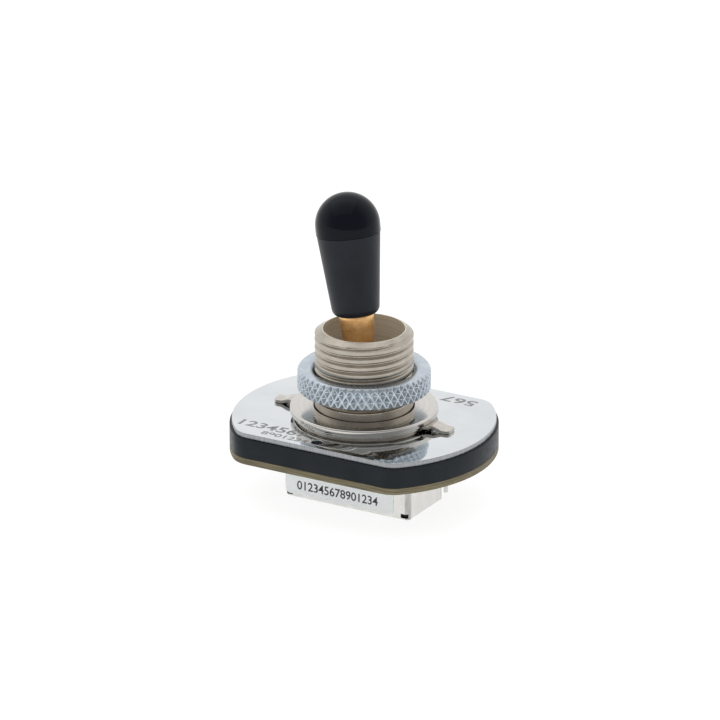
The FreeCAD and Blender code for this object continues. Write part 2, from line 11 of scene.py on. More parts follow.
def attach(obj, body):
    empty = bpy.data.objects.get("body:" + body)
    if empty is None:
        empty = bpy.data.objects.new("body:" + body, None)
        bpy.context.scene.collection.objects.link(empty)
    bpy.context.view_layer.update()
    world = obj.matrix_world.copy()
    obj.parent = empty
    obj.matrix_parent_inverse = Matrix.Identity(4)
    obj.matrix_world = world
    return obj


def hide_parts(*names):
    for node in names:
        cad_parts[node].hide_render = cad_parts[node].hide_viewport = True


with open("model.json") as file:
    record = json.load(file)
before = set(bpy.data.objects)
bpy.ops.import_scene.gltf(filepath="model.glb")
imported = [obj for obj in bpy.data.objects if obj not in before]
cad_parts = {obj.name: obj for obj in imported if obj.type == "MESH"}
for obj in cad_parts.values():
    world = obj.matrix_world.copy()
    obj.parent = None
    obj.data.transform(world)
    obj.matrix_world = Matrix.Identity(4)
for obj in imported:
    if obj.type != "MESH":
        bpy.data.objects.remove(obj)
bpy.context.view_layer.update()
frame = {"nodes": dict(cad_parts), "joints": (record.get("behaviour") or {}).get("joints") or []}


# Shield can: a box folded from 0.3 mm tinned steel sheet. The front and back walls wrap round the
# corners and meet the end walls at an open seam. At each corner's foot a small notch is cut round
# the bend, and four tabs pass up through the board into the moulded body.

mm = 0.001
can_half_length = 8.65
can_half_width = 4.25
can_height = 6.6
can_sheet = 0.3
can_corner = 0.6
can_foot = 0.24
can_seam_from = 3.7
can_seam_to = 3.82
can_seam_low = 0.31
can_seam_depth = 0.22
notch_from = 7.55
notch_turn = 50
notch_reach = 8.4
notch_low = 0.27
notch_high = 0.8
notch_depth = 0.5
bend_x = 8.12
bend_y = 3.8
tab_x = 6.2
tab_y = 4.1
tab_half = 0.6
tab_top = 7.7
tab_edge = 0.05
mask_margin = 0.05
level_margin = 0.01
same_spot = 1e-6
weld_gap = 0.0002
level_face = 0.99999


def new_look(name, color, rough, metal=0.0, more=()):
    """A material whose Principled shader has these plain values; its nodes are added after."""
    look = bpy.data.materials.new(name)
    look.use_nodes = True
    values = {"Base Color": (*color, 1), "Roughness": rough, "Metallic": metal, **dict(more)}
    for key, value in values.items():
        look.node_tree.nodes["Principled BSDF"].inputs[key].default_value = value
    return look


def add_node(look, kind, sockets=(), **settings):
    """A shader node with its settings and its sockets' values or incoming links."""
    tree = look.node_tree
    node = tree.nodes.new("ShaderNode" + kind)
    for key, value in settings.items():
        setattr(node, key, value)
    for key, value in dict(sockets).items():
        if isinstance(value, bpy.types.NodeSocket):
            tree.links.new(value, node.inputs[key])
        else:
            node.inputs[key].default_value = value
    return node


def own_place(look):
    """The socket of the object's own coordinates."""
    return add_node(look, "TexCoord").outputs["Object"]


def noise_over(look, size, stretch=(1, 1, 1), place=None, detail=3.0):
    """Noise from 0 to 1 whose features are about size mm, drawn out along each axis by stretch."""
    if place is None:
        place = own_place(look)
    squeezed = add_node(look, "Mapping", {"Vector": place,
                                          "Scale": [1 / (s * size * mm) for s in stretch]})
    noise = add_node(look, "TexNoise", {"Vector": squeezed.outputs["Vector"], "Scale": 1.0,
                                        "Detail": detail, "Roughness": 0.55})
    return noise.outputs["Fac"]


def spread(look, value, low, high, edge=0.28):
    """The noise's usual middle range laid out evenly from low to high."""
    return add_node(look, "MapRange", {"Value": value, "From Min": edge, "From Max": 1 - edge,
                                       "To Min": low, "To Max": high}).outputs["Result"]


def feed(look, value, name):
    """Links a value to the input of that name on the Principled shader."""
    look.node_tree.links.new(value, look.node_tree.nodes["Principled BSDF"].inputs[name])


def tint(look, share, first, second):
    """Colours the surface from first to second, each a colour or a socket, as share goes from
    0 to 1."""
    first, second = ((*end, 1) if isinstance(end, tuple) else end for end in (first, second))
    blend = add_node(look, "Mix", {"Factor": share, 6: first, 7: second}, data_type="RGBA")
    feed(look, blend.outputs[2], "Base Color")
    return blend.outputs[2]


def roughen(look, value):
    """Links a value to the shader's roughness."""
    feed(look, value, "Roughness")


def dapple(look, size, low, high):
    """Lays the roughness out from low to high in soft clouds of size mm."""
    roughen(look, spread(look, noise_over(look, size), low, high))


def emboss(look, value, height):
    """Raises the shading by height mm where value is 1, on top of what was raised before."""
    shader = look.node_tree.nodes["Principled BSDF"]
    bump = add_node(look, "Bump", {"Height": value, "Distance": height * mm, "Strength": 1.0})
    if shader.inputs["Normal"].is_linked:
        before = shader.inputs["Normal"].links[0].from_socket
        look.node_tree.links.new(before, bump.inputs["Normal"])
    feed(look, bump.outputs["Normal"], "Normal")


def computed(look, operation, *values):
    """The result of a maths node on one or two values, each a number or a socket."""
    return add_node(look, "Math", dict(enumerate(values)), operation=operation).outputs[0]


def measured(look):
    """The sockets of |x|, |y| and z in object coordinates."""
    split = add_node(look, "SeparateXYZ", {"Vector": own_place(look)})
    across, deep = (computed(look, "ABSOLUTE", split.outputs[axis]) for axis in "XY")
    return across, deep, split.outputs["Z"]


def all_of(look, *tests):
    """1 where every (socket, operation, size in mm) test holds, as the product of the tests."""
    product = 1.0
    for socket, operation, size in tests:
        holds = computed(look, operation, socket, size * mm)
        product = computed(look, "MULTIPLY", holds, product)
    return product


def grid_faces(rows, columns, close_rows=False, close_columns=True):
    """Corner numbers of the quads between neighbouring rows and columns of a grid of points."""
    r = np.arange(rows if close_rows else rows - 1)[:, None]
    c = np.arange(columns if close_columns else columns - 1)[None, :]
    here = r * columns
    above = (r + 1) % rows * columns
    right = (c + 1) % columns
    return np.stack([here + c, here + right, above + right, above + c], axis=-1).reshape(-1, 4)


def cap(loops, level, up):
    """A flat face at one level between an outer loop and its holes, cut into triangles."""
    flat = [[Vector((x, y, 0)) for x, y in loop] for loop in loops]
    triangles = np.array(tessellate_polygon(flat))
    points = np.concatenate(loops)
    a, b, c = (points[triangles[:, i]] for i in range(3))
    turn = (b[:, 0] - a[:, 0]) * (c[:, 1] - a[:, 1]) - (b[:, 1] - a[:, 1]) * (c[:, 0] - a[:, 0])
    wrong = (turn > 0) != up
    triangles[wrong] = triangles[wrong][:, ::-1]
    return np.column_stack([points, np.full(len(points), level)]), triangles


def piece(name, parts, body, look, nodes=(), crease=32):
    """One mesh from parts of (points in mm, faces), joined where they meet, with its finish."""
    starts = np.cumsum([0] + [len(points) for points, part in parts[:-1]])
    faces = [row for (points, part), start in zip(parts, starts) for row in (part + start).tolist()]
    mesh = bpy.data.meshes.new(name)
    mesh.from_pydata(np.concatenate([points for points, part in parts]) * mm, [], faces)
    work = bmesh.new()
    work.from_mesh(mesh)
    bmesh.ops.remove_doubles(work, verts=work.verts, dist=weld_gap * mm)
    work.to_mesh(mesh)
    work.free()
    normals = np.empty(len(mesh.polygons) * 3)
    mesh.polygons.foreach_get("normal", normals)
    mesh.polygons.foreach_set("use_smooth", np.abs(normals[2::3]) < level_face)
    mesh.set_sharp_from_angle(angle=math.radians(crease))
    mesh.materials.append(look)
    thing = bpy.data.objects.new(name, mesh)
    bpy.context.scene.collection.objects.link(thing)
    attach(thing, body)
    if nodes:
        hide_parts(*nodes)
    return thing


def arcs(list_of_arcs, steps):
    """A closed path of arcs (x, y, radius, first degree, last degree) and its outward normals:
    each point is the centre plus the radius along its angle, and straight runs join the arcs."""
    points, normals = [], []
    for x, y, radius, first, last in list_of_arcs:
        turn = np.radians(np.linspace(first, last, steps))
        normal = np.column_stack([np.cos(turn), np.sin(turn)])
        points.append(np.array([x, y]) + radius * normal)
        normals.append(normal)
    return np.concatenate(points), np.concatenate(normals)


def rounded_box(half_length, half_width, corner, steps=9, x=0.0, y=0.0):
    """The path of a rectangle with rounded corners, anticlockwise from its right front corner."""
    a = half_length - corner
    b = half_width - corner
    return arcs([(x + a, y - b, corner, -90, 0), (x + a, y + b, corner, 0, 90),
                 (x - a, y + b, corner, 90, 180), (x - a, y - b, corner, 180, 270)], steps)


def strip(loop, normals, rows):
    """A profile carried along a path: each row is (distance inwards, level) for the whole path."""
    inset = np.array([row[0] for row in rows])[:, None, None]
    level = np.array([row[1] for row in rows])
    flat = loop[None] - inset * normals[None]
    high = np.broadcast_to(level[:, None, None], (len(rows), len(loop), 1))
    points = np.concatenate([flat, high], axis=2).reshape(-1, 3)
    return points, grid_faces(len(rows), len(loop))


def quarter(radius, level, first, steps=6):
    """Rows of an edge's rounding: inset and level go round a quarter circle of this radius. It
    starts at -90 degrees on a lower edge and at 0 under an upper one."""
    middle = level + radius if first < 0 else level - radius
    turn = np.radians(np.linspace(first, first + 90, steps))
    return [(radius - radius * math.cos(t), middle + radius * math.sin(t)) for t in turn]


def can_shell():
    """The can's wall: the outer profile from the foot up and the inner one down again, carried
    round the path, with the points in a seam or a notch moved inwards by its depth."""
    a = can_half_length
    b = can_half_width
    side_y = np.array([can_seam_from, can_seam_from, can_seam_to, can_seam_to])
    seam_y = np.concatenate([-side_y[::-1], [0], side_y])
    seam_cut = np.array([0, 1, 1, 0, 0, 0, 1, 1, 0])
    notch_x = notch_from * np.array([-1, -1, 0, 1, 1])
    notch_cut = np.array([1, 0, 0, 0, 1])
    turns = np.concatenate([np.linspace(0, notch_turn, 6), np.linspace(notch_turn, 90, 5)])
    turns_cut = np.array([1] * 6 + [0] * 5)
    paths, normals, seams, notches = [], [], [], []
    for quarter_turn in range(4):
        if quarter_turn % 2 == 0:
            across, half, reach, seam, notch = notch_x, b, a, 0 * notch_cut, notch_cut
            corner, corner_cut = np.radians(turns), turns_cut
        else:
            across, half, reach, seam, notch = seam_y, a, b, seam_cut, 0 * seam_cut
            corner, corner_cut = np.radians(90 - turns[::-1]), turns_cut[::-1]
        side = np.column_stack([across, np.full(len(across), -half)])
        arc = np.column_stack([reach - can_corner + can_corner * np.sin(corner),
                               -half + can_corner - can_corner * np.cos(corner)])
        turn = math.radians(90 * quarter_turn)
        spin = np.array([[math.cos(turn), math.sin(turn)], [-math.sin(turn), math.cos(turn)]])
        paths += [side @ spin, arc @ spin]
        normals += [np.tile([0, -1], (len(across), 1)) @ spin,
                    np.column_stack([np.sin(corner), -np.cos(corner)]) @ spin]
        seams += [seam, 0 * corner_cut]
        notches += [notch, corner_cut]
    path = np.concatenate(paths)
    normal = np.concatenate(normals)
    seam = np.concatenate(seams)
    notch = np.concatenate(notches)
    rows = quarter(can_foot, 0, -90)
    outer = [(0, notch_low), (0, notch_low), (0, notch_high), (0, notch_high), (0, can_height)]
    inner = [(can_sheet, can_height), (can_sheet, can_sheet)]
    in_notch = np.array([0] * len(rows) + [0, 1, 1, 0, 0] + [0, 0])
    in_seam = np.array([0] * len(rows) + [1, 1, 1, 1, 1] + [0, 0])
    rows = rows + outer + inner
    points, faces = strip(path, normal, rows)
    grid = points.reshape(len(rows), len(path), 3)
    depth = (in_notch[:, None] * notch[None] * notch_depth
             + in_seam[:, None] * seam[None] * can_seam_depth)
    grid[:, :, :2] -= depth[:, :, None] * normal[None]
    apart = np.any(np.abs(np.diff(path, axis=0)) > same_spot, axis=1)
    keep = np.concatenate([[True], apart])
    foot = path[keep] - can_foot * normal[keep]
    floor = path[keep] - can_sheet * normal[keep]
    return [(grid.reshape(-1, 3), faces), cap([foot], 0.0, False), cap([floor], can_sheet, True)]


def slab(loops, low, high, edge):
    """A flat part: walls with rounded edges along an outer path and its holes, and two faces."""
    parts = []
    rows = quarter(edge, low, -90) + quarter(edge, high, 0)
    for loop, normals in loops:
        parts.append(strip(loop, normals, rows))
    inset = [loop - edge * normals for loop, normals in loops]
    return parts + [cap(inset, low, False), cap(inset, high, True)]


tin = new_look("Tinned sheet", (0.78, 0.78, 0.765), 0.3, 1.0)
cloud = noise_over(tin, 2.2, (1, 1, 2.2))
bright = tint(tin, spread(tin, cloud, 0, 1), (0.69, 0.68, 0.655), (0.82, 0.81, 0.785))
tin_x, tin_y, tin_z = measured(tin)
# Painted shade: the inner faces of the notches and of the seams are coloured near black where shade
# falls in them.
notch_painted_shade = all_of(tin, (tin_x, "GREATER_THAN", notch_from - mask_margin),
                      (tin_x, "LESS_THAN", notch_reach),
                      (tin_y, "LESS_THAN", can_half_width - mask_margin),
                      (tin_z, "GREATER_THAN", notch_low - level_margin),
                      (tin_z, "LESS_THAN", notch_high + level_margin))
seam_painted_shade = all_of(tin, (tin_y, "GREATER_THAN", can_seam_from - mask_margin),
                     (tin_y, "LESS_THAN", can_seam_to + mask_margin),
                     (tin_x, "LESS_THAN", can_half_length - mask_margin),
                     (tin_z, "GREATER_THAN", can_seam_low))
# Painted shade: the tin is darkened in grey streaks round the four corner bends.
bend_shade_zone = all_of(tin, (tin_x, "GREATER_THAN", bend_x), (tin_y, "GREATER_THAN", bend_y))
bend_shade_streaks = spread(tin, noise_over(tin, 0.5, (1, 1, 5)), 0.35, 0.8)
tin_with_bend_shade = tint(tin, computed(tin, "MULTIPLY", bend_shade_zone, bend_shade_streaks), bright, (0.30, 0.295, 0.285))
tint(tin, computed(tin, "MAXIMUM", notch_painted_shade, seam_painted_shade), tin_with_bend_shade, (0.03, 0.03, 0.03))
dapple(tin, 1.3, 0.22, 0.38)
emboss(tin, noise_over(tin, 3.0), 0.02)
emboss(tin, noise_over(tin, 0.06, (6, 6, 1)), 0.0012)
tabs = []
for x in (-tab_x, tab_x):
    for y in (-tab_y, tab_y):
        tabs += slab([rounded_box(tab_half, can_sheet / 2, tab_edge, 4, x, y)], can_height,
                     tab_top, tab_edge)
piece("can_folded", can_shell() + tabs, "root", tin, ["shield_can"])


# Label on the can's front: a satin film with rounded corners and a printed row of plain digits.
# The film is 0.08 mm thick and is stuck flat on the front wall.

label_half_length = 7.55
label_half_height = 2.85
label_centre_x = -1.0
label_thick = 0.08
label_corner = 0.6
label_edge = 0.02
digit_row_width = 11.3
digit_row_height = 1.15
digit_row_x = -1.25
digit_row_z = 1.72
digit_weight = 0.014
ink_lift = 0.003
ink_thick = 0.006


def to_front(parts, x, z):
    """Flat parts drawn in X and Y, stood up on the can's front wall: Y becomes Z."""
    return [(np.column_stack([p[:, 0] + x, -can_half_width - p[:, 2], p[:, 1] + z]), f)
            for p, f in parts]


def written(name, text, width, height, weight, place, look):
    """Plain digits as thin raised shapes, drawn out to a width and height in mm."""
    curve = bpy.data.curves.new(name, "FONT")
    curve.body = text
    curve.extrude = 0.5
    curve.offset = weight
    curve.resolution_u = 6
    drawn = bpy.data.objects.new(name, curve)
    mesh = bpy.data.meshes.new_from_object(drawn)
    bpy.data.objects.remove(drawn)
    points = np.empty(len(mesh.vertices) * 3)
    mesh.vertices.foreach_get("co", points)
    points = points.reshape(-1, 3)
    low = points.min(axis=0)
    size = points.max(axis=0) - low
    points = (points - low - size / 2) / size * np.array([width, height, 1])
    points = place(points) * mm
    mesh.vertices.foreach_set("co", points.ravel())
    mesh.materials.clear()
    mesh.materials.append(look)
    mesh.update()
    thing = bpy.data.objects.new(name, mesh)
    bpy.context.scene.collection.objects.link(thing)
    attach(thing, "root")
    return thing


def mottle(look, size, first, second):
    """Colours the surface in soft clouds of size mm, from the first colour to the second."""
    return tint(look, spread(look, noise_over(look, size), 0, 1), first, second)


film = new_look("Label film", (0.93, 0.975, 0.99), 0.42)
mottle(film, 3.0, (0.92, 0.965, 0.98), (0.95, 0.985, 1.0))
dapple(film, 0.8, 0.36, 0.5)
emboss(film, noise_over(film, 1.5), 0.004)
label = slab([rounded_box(label_half_length, label_half_height, label_corner)], 0.0, label_thick,
             label_edge)
piece("label_film", to_front(label, label_centre_x, can_height / 2), "root", film,
      ["can_label"])
ink = new_look("Printed digits", (0.035, 0.035, 0.045), 0.5)
mottle(ink, 0.12, (0.01, 0.01, 0.015), (0.06, 0.06, 0.07))


def on_label(points):
    """Stands flat digits up on the label: x and height are the drawn x and y plus the row's
    place, and y is the label's face less a thin layer of ink."""
    face = -can_half_width - label_thick - ink_lift
    return np.column_stack([points[:, 0] + digit_row_x, face - points[:, 2] * ink_thick,
                            points[:, 1] + digit_row_z])


written("label_digits", "012345678901234", digit_row_width, digit_row_height, digit_weight,
        on_label, ink)


# Circuit board: 0.8 mm glass laminate, as large as the moulded body on it. Its routed edge is bare
# and shows the olive layers. The lever's stem passes through a slot in its middle.

plate_radius = 16.05
plate_half_width = 12.1
plate_corner = 3.0
outline_steps = (16, 72)
body_grow = 0.28
board_low = can_height
board_high = 7.4
board_edge = 0.04
stem_slot = (2.59, 2.03, 0.5)


def outline(grow):
    """The common outline of board, body and plate: a disc with two flats, whose corners are arcs
    that touch the disc and the flats. Grown outwards by a margin in mm."""
    radius = plate_radius + grow
    corner = plate_corner + grow
    rise = plate_half_width - plate_corner
    run = math.sqrt((plate_radius - plate_corner) ** 2 - rise ** 2)
    meet = math.degrees(math.atan2(rise, run))
    few, many = outline_steps
    corners, normals = [], []
    for first, centre, size, last, steps in (
            (-90, (run, -rise), corner, -meet, few), (-meet, (0, 0), radius, meet, many),
            (meet, (run, rise), corner, 90, few), (90, (-run, rise), corner, 180 - meet, few),
            (180 - meet, (0, 0), radius, 180 + meet, many),
            (180 + meet, (-run, -rise), corner, 270, few)):
        loop, normal = arcs([(*centre, size, first, last)], steps)
        corners.append(loop[:-1] if last != 90 and last != 270 else loop)
        normals.append(normal[:-1] if last != 90 and last != 270 else normal)
    return np.concatenate(corners), np.concatenate(normals)


def hole(loop_and_normals):
    """The same path run the other way, so that its wall faces into the hole."""
    loop, normals = loop_and_normals
    return loop[::-1], -normals[::-1]


laminate = new_look("Bare laminate", (0.12, 0.10, 0.05), 0.55)
layers = noise_over(laminate, 0.12, (28, 28, 1), detail=2.0)
tint(laminate, spread(laminate, layers, 0, 1), (0.060, 0.049, 0.023), (0.175, 0.147, 0.078))
dapple(laminate, 0.3, 0.42, 0.7)
emboss(laminate, layers, 0.01)
emboss(laminate, noise_over(laminate, 0.05), 0.004)
piece("board_laminated",
      slab([outline(body_grow), hole(rounded_box(*stem_slot, 6))], board_low, board_high,
           board_edge), "root", laminate, ["circuit_board"])


# Pads for the guitar's wires under the board: ten tinned pads, each with a low mound of solder
# that is already there for the wire's end.

pad_x = 10.35
pad_pitch = 2.54
pad_count = 5
pad_half_length = 0.9
pad_half_width = 0.65
pad_corner = 0.25
pad_thick = 0.05
pad_edge = 0.01
mound_half_length = 0.78
mound_half_width = 0.54
mound_height = 0.34
mound_sunk = 0.001
mound_rings = 9
mound_columns = 32


def mound(half_length, half_width, height, x, y, low):
    """A solder mound hanging from a level: depth is height times (1 - r^2) to the 0.7, where r
    is the share of the way to the rim, on rings of an oval."""
    share = np.linspace(1, 0, mound_rings)[:, None]
    turn = np.linspace(0, 2 * math.pi, mound_columns + 1)[:-1][None, :]
    drop = height * (1 - share ** 2) ** 0.7 * np.ones_like(turn)
    points = np.stack([x + half_length * share * np.cos(turn),
                       y - half_width * share * np.sin(turn), low - drop], axis=-1)
    return points.reshape(-1, 3), grid_faces(mound_rings, mound_columns)


solder = new_look("Solder", (0.60, 0.60, 0.58), 0.26, 1.0)
dapple(solder, 0.35, 0.18, 0.42)
emboss(solder, noise_over(solder, 0.5), 0.02)
pads = []
pad_low = board_low - pad_thick
for side in (-1, 1):
    for i in range(pad_count):
        y = (i - (pad_count - 1) / 2) * pad_pitch
        pads += slab([rounded_box(pad_half_length, pad_half_width, pad_corner, 5, side * pad_x, y)],
                     pad_low, board_low, pad_edge)
        pads.append(mound(mound_half_length, mound_half_width, mound_height, side * pad_x, y,
                          pad_low + mound_sunk))
piece("wire_pads_tinned", pads, "root", solder, ["wire_pads"])


# Board pins: four square tinned pins with bevelled ends, soldered in the board and let into the
# body above it. One of them shows under the board at the right.

pin_x = 13.2
pin_y = 3.2
pin_half = 0.21
pin_edge = 0.06
pin_low = 4.4
pin_high = 8.6
pins = []
for x in (-pin_x, pin_x):
    for y in (-pin_y, pin_y):
        pins += slab([rounded_box(pin_half, pin_half, pin_edge, 4, x, y)], pin_low, pin_high,
                     pin_edge)
piece("pins_square", pins, "root", solder, ["board_pins"])


# Moulded body: a black nylon block between board and plate, a little larger than the plate. It is
# open in the middle for the stem and the upper carriage, and has two pegs for the plate.

body_low = board_high
body_high = 9.9
pocket_high = 8.9
recess_low = 9.32
recess_radius = 6.63
body_edge = 0.1
carriage_pocket = (5.49, 3.24, 0.3)
body_slot = (2.38, 1.93, 0.3)
peg_x = 0.6
peg_y = 10.3
peg_radius = 0.66
peg_sunk = 0.2
peg_high = 10.3
peg_edge = 0.08


def circle(radius, steps, x=0.0, y=0.0):
    """A round path without its last point, which would lie on the first."""
    loop, normals = arcs([(x, y, radius, -90, 270)], steps + 1)
    return loop[:-1], normals[:-1]


def moulded_body():
    """Walls along the outline, the pocket, the stem's slot and the round recess, with the flat
    faces between them at each level."""
    outer, out = outline(body_grow)
    rows = quarter(body_edge, body_low, -90) + quarter(body_edge, body_high, 0)
    pocket = hole(rounded_box(*carriage_pocket, 5))
    slot = hole(rounded_box(*body_slot, 5))
    recess = hole(circle(recess_radius, 96))
    rim = outer - body_edge * out
    parts = [strip(outer, out, rows),
             strip(*pocket, [(0, body_low), (0, pocket_high)]),
             strip(*slot, [(0, pocket_high), (0, recess_low)]),
             strip(*recess, [(0, recess_low), (0, body_high)]),
             cap([rim, pocket[0]], body_low, False),
             cap([pocket[0][::-1], slot[0]], pocket_high, False),
             cap([recess[0][::-1], slot[0]], recess_low, True),
             cap([rim, recess[0]], body_high, True)]
    for side in (-1, 1):
        parts += slab([circle(peg_radius, 40, side * peg_x, side * peg_y)], body_high - peg_sunk,
                      peg_high, peg_edge)
    return parts


nylon = new_look("Black nylon", (0.010, 0.013, 0.017), 0.36, more={"Specular IOR Level": 0.16})
mottle(nylon, 4.0, (0.005, 0.008, 0.011), (0.010, 0.014, 0.018))
dapple(nylon, 0.6, 0.30, 0.46)
emboss(nylon, noise_over(nylon, 0.07), 0.002)
emboss(nylon, noise_over(nylon, 1.2, (3, 3, 1)), 0.006)
piece("body_moulded", moulded_body(), "root", nylon, ["switch_body"])


# Top plate: 0.65 mm steel, punched out, mirror polished and nickel plated. The punched edge stays
# duller, and plain digits are etched into the face where a maker would mark it.

plate_low = body_high
plate_high = 10.55
plate_edge = 0.07
plate_bore = 6.03
peg_hole = 0.69
punched_from = 0.95
punched_full = 0.6
etched_weight = 0.02
etched_lift = 0.002
etched_thick = 0.004
etched_rows = (("etched_row_long", "1234567", 9.4, 1.75, (-7.35, -8.95, 0)),
               ("etched_row_short", "8901234", 6.4, 1.05, (-4.85, -10.75, 0)),
               ("etched_row_back", "567", 4.7, 1.7, (7.5, 10.1, 180)))


def mixed(look, share, first, second):
    """The mix from first to second, each a number or a socket, as share goes from 0 to 1."""
    return add_node(look, "Mix", {"Factor": share, 2: first, 3: second}).outputs[0]


mirror = new_look("Polished plate", (0.76, 0.775, 0.785), 0.05, 1.0)
upright = add_node(mirror, "SeparateXYZ",
                   {"Vector": add_node(mirror, "NewGeometry").outputs["Normal"]}).outputs["Z"]
flatness = computed(mirror, "ABSOLUTE", upright)
on_edge = add_node(mirror, "MapRange", {"Value": flatness, "From Min": punched_from,
                                        "From Max": punched_full},
                   interpolation_type="SMOOTHSTEP").outputs["Result"]
face = mottle(mirror, 6.0, (0.66, 0.69, 0.71), (0.74, 0.765, 0.78))
streaks = noise_over(mirror, 0.12, (1, 1, 14))
torn = tint(mirror, spread(mirror, streaks, 0, 1), (0.24, 0.25, 0.26), (0.44, 0.455, 0.47))
tint(mirror, on_edge, face, torn)
roughen(mirror, mixed(mirror, on_edge, spread(mirror, noise_over(mirror, 2.5), 0.035, 0.07),
                      spread(mirror, streaks, 0.28, 0.45)))
emboss(mirror, noise_over(mirror, 6.0), 0.002)
piece("plate_polished",
      slab([outline(0), hole(circle(plate_bore, 120)), hole(circle(peg_hole, 40, peg_x, peg_y)),
            hole(circle(peg_hole, 40, -peg_x, -peg_y))], plate_low, plate_high, plate_edge),
      "root", mirror, ["top_plate"])
etched = new_look("Etched steel", (0.26, 0.255, 0.25), 0.6, 0.4)
mottle(etched, 0.12, (0.19, 0.19, 0.19), (0.33, 0.325, 0.32))


def on_plate(x, y, turn):
    """A function that puts flat digits on the plate's face, turned about Z by turn degrees."""
    c = math.cos(math.radians(turn))
    s = math.sin(math.radians(turn))

    def place(points):
        """The points turned by the angle's cosine and sine, and moved to the row's middle."""
        return np.column_stack([x + c * points[:, 0] - s * points[:, 1],
                                y + s * points[:, 0] + c * points[:, 1],
                                plate_high + etched_lift + etched_thick * points[:, 2]])
    return place


for name, digits, width, height, spot in etched_rows:
    written(name, digits, width, height, etched_weight, on_plate(*spot), etched)


# Threaded bushing: turned from brass bar and nickel plated, with an M12 x 1 thread, a wide mouth
# for the lever, a flange on the plate and a lip under it. Two slots in the lower bore take the
# rocker's trunnions.

columns = 320
thread_radius = 6.0
thread_pitch = 1.0
thread_depth = 0.36
groove_half = 0.29
groove_flat = 1.1
thread_low = 13.1
thread_high = 21.96
thread_fade = 0.3
thread_rows = 15
relief_rows = (12.2, 13.0)
bushing_top = 22.0
rim_low = 21.47
rim_radius = 5.105
rim_round = 0.03
rim_drop = 0.012
mouth_radius = 4.965
mouth_floor = 16.4
mouth_fillet = 0.3
mouth_fillet_middle = 0.09
mouth_painted_light_radius = 5.1
bore_radius = 4.15
bushing_low = 9.35
lip_radius = 6.6
lip_edge = 0.05
flange_radius = 8.2
flange_high = 10.85
flange_edge = 0.06
slot_half_width = 0.89
slot_least = 0.01
arch_gap = 0.001
slot_reach = 5.13
slot_columns = 17
pivot_level = 13.4


def smooth(share):
    """Goes from 0 to 1 with level ends: 3 s^2 less 2 s^3 of the share held between 0 and 1."""
    share = np.clip(share, 0, 1)
    return share * share * (3 - 2 * share)


def turned(profile, count):
    """A profile of (radius, level) rows turned about Z: x and y are the radius times the cosine
    and sine of the angle. The first column lies at -90 degrees."""
    turn = np.arange(count) * 2 * math.pi / count - math.pi / 2
    radius = np.array(profile)[:, :1]
    level = np.array(profile)[:, 1:2]
    return np.stack([radius * np.cos(turn), radius * np.sin(turn), level + 0 * turn], axis=-1)


def eased(corners, steps=5, closed=True):
    """A path of straight runs through (x, y, radius) corners, each rounded by an arc that leaves
    the runs at equal distances. A radius of 0 keeps the corner."""
    path = []
    count = len(corners)
    for i, (x, y, radius) in enumerate(corners):
        here = np.array([x, y], float)
        if radius == 0 or (not closed and i in (0, count - 1)):
            path.append(here)
            continue
        back = np.array(corners[i - 1][:2]) - here
        ahead = np.array(corners[(i + 1) % count][:2]) - here
        back = back / np.linalg.norm(back)
        ahead = ahead / np.linalg.norm(ahead)
        half = math.acos(max(-1.0, min(1.0, float(back @ ahead)))) / 2
        start = here + back * radius / math.tan(half)
        middle = here + (back + ahead) / np.linalg.norm(back + ahead) * radius / math.sin(half)
        first = start - middle
        end = here + ahead * radius / math.tan(half) - middle
        sweep = math.pi - 2 * half
        for t in np.linspace(0, 1, steps):
            path.append(middle + (math.sin((1 - t) * sweep) * first + math.sin(t * sweep) * end)
                        / math.sin(sweep))
    return np.array(path)


def thread_radius_at(angle, level):
    """The crest's radius less the depth times a smooth groove of the phase, level / pitch less
    turn, which fades in above the thread's start and is never outside the bevel of the rim."""
    phase = (level / thread_pitch - angle / (2 * math.pi)) % 1.0
    groove = smooth(groove_flat - np.abs(phase - 0.5) / groove_half)
    fade = np.clip((level - thread_low) / thread_fade, 0, 1)
    slope = (thread_radius - rim_radius) / (bushing_top - rim_low)
    bevel = thread_radius - (level - rim_low) * slope
    return np.minimum(thread_radius - thread_depth * groove * fade, bevel)


def thread_strip():
    """A strip one pitch wide that climbs along the helix for every turn. Its levels are held
    between the thread's two ends, so that its first and last turns close on plain rings."""
    turns = math.ceil((thread_high - thread_low) / thread_pitch) + 1
    along = np.arange(turns * columns + 1)[None, :] / columns
    across = np.linspace(0, 1, thread_rows)[:, None]
    level = np.clip(thread_low + thread_pitch * (along - 1 + across), thread_low, thread_high)
    angle = 2 * math.pi * along - math.pi / 2 + 0 * level
    radius = thread_radius_at(angle, level)
    points = np.stack([radius * np.cos(angle), radius * np.sin(angle), level], axis=-1)
    faces = grid_faces(thread_rows, turns * columns + 1, close_columns=False)
    return points.reshape(-1, 3), faces


def slotted_bore(levels, arch_top):
    """The lower bore, in which the columns gather at the two slots and step out to their ends.
    The slot's half width is that of a round arch round the pivot at the row's level."""
    rise = np.clip(levels - pivot_level, 0, None)
    width = np.sqrt(np.clip(slot_half_width ** 2 - rise ** 2, slot_least ** 2, None))[:, None]
    half = (slot_columns - 1) // 2
    slot_x = width * np.arange(-half, half + 1)[None, :] / half
    open_here = (levels <= arch_top)[:, None]
    slot_y = np.where(open_here, slot_reach, np.sqrt(bore_radius ** 2 - slot_x ** 2))
    between = columns // 2 - slot_columns
    edge = np.arcsin(width / bore_radius)
    step = np.linspace(0, 1, between)[None, :]
    wall = -math.pi / 2 + edge + step * (math.pi - 2 * edge)
    half_x = np.concatenate([slot_x, bore_radius * np.cos(wall)], axis=1)
    half_y = np.concatenate([-slot_y, bore_radius * np.sin(wall)], axis=1)
    full = np.stack([np.concatenate([half_x, -half_x], axis=1),
                     np.concatenate([half_y, -half_y], axis=1)], axis=-1)
    return np.roll(full, -half, axis=1)


